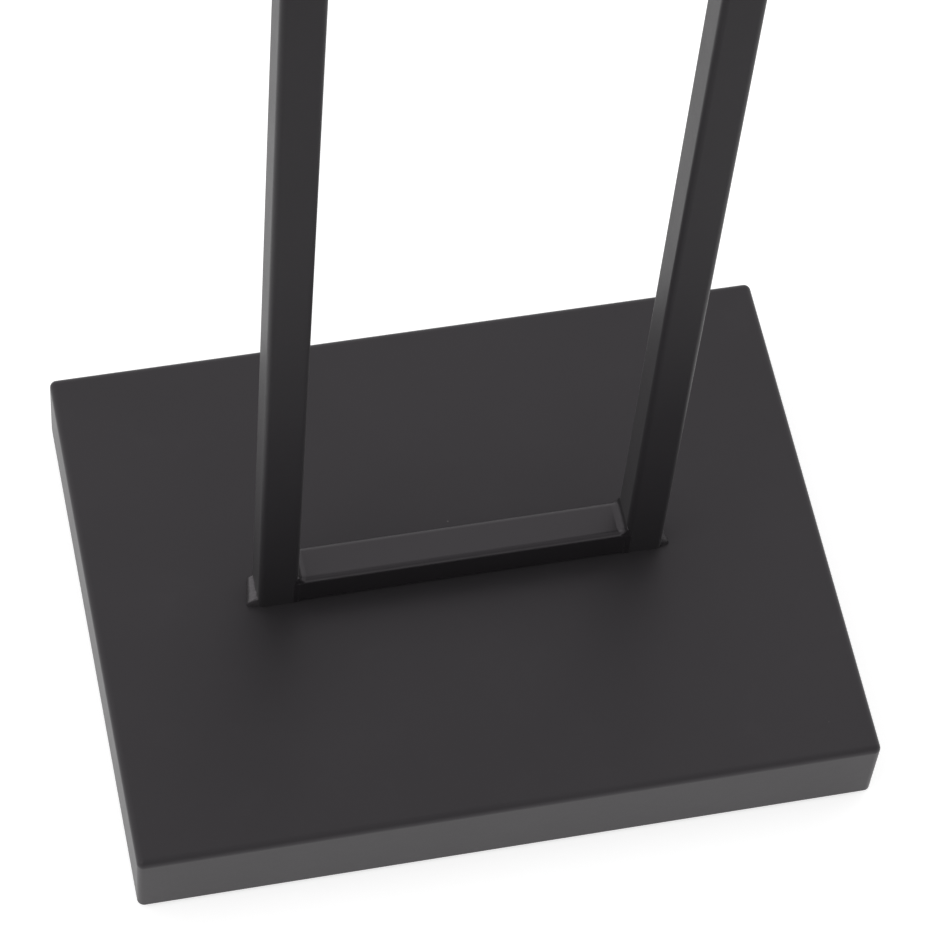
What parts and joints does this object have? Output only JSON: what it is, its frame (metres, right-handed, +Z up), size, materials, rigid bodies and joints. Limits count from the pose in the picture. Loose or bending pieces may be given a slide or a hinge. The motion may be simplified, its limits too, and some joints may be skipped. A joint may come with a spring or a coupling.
{
  "type": "valet stand",
  "caption": "Free-standing black valet stand: welded square-tube hoop on a thick folded steel base, with a wooden jacket hanger, trouser bar and felt-lined key tray",
  "frame": {"origin": "On the floor, at the middle of the stand's bounding box seen from above, in the plane that the rubber feet stand on", "axes": "+Z up along the uprights, +X to the right and -Y to the front, the side that the key tray and trouser bar are on"},
  "size_m": [0.4422, 0.28, 1.1041],
  "materials": {
    "frame_coat": "satin black powder coat with fine texture",
    "black_wood": "black stained and lacquered beech",
    "black_screws": "black oxide steel",
    "zinc_steel": "zinc plated steel",
    "primed_steel": "grey primer on mild steel",
    "brass_insert": "turned brass",
    "rubber_feet": "moulded black rubber",
    "felt": "dark grey pressed wool felt"
  },
  "bodies": {
    "root": {"base_shell": "frame_coat", "left_upright": "frame_coat", "right_upright": "frame_coat", "top_bar": "frame_coat", "bottom_bar": "frame_coat", "left_bar_weld": "frame_coat", "right_bar_weld": "frame_coat", "left_foot_weld": "frame_coat", "right_foot_weld": "frame_coat", "left_hanger_post": "frame_coat", "right_hanger_post": "frame_coat", "left_bar_spacer": "frame_coat", "right_bar_spacer": "frame_coat", "key_tray": "frame_coat", "bottom_cover": "frame_coat", "jacket_hanger": "black_wood", "trouser_bar": "black_wood", "hanger_bolts": "black_screws", "trouser_bar_bolts": "black_screws", "tray_screws": "black_screws", "ballast_nuts": "zinc_steel", "ballast_bolts": "zinc_steel", "ballast_washers": "zinc_steel", "cover_screws": "zinc_steel", "foot_screws": "zinc_steel", "foot_nuts": "zinc_steel", "tray_rivet_nuts": "zinc_steel", "left_stiffener": "primed_steel", "right_stiffener": "primed_steel", "ballast_plate": "primed_steel", "front_cover_bracket": "primed_steel", "back_cover_bracket": "primed_steel", "left_cover_bracket": "primed_steel", "right_cover_bracket": "primed_steel", "hanger_inserts": "brass_insert", "trouser_bar_inserts": "brass_insert", "front_left_foot": "rubber_feet", "front_right_foot": "rubber_feet", "back_left_foot": "rubber_feet", "back_right_foot": "rubber_feet", "tray_liner": "felt"}
  },
  "joints": []
}
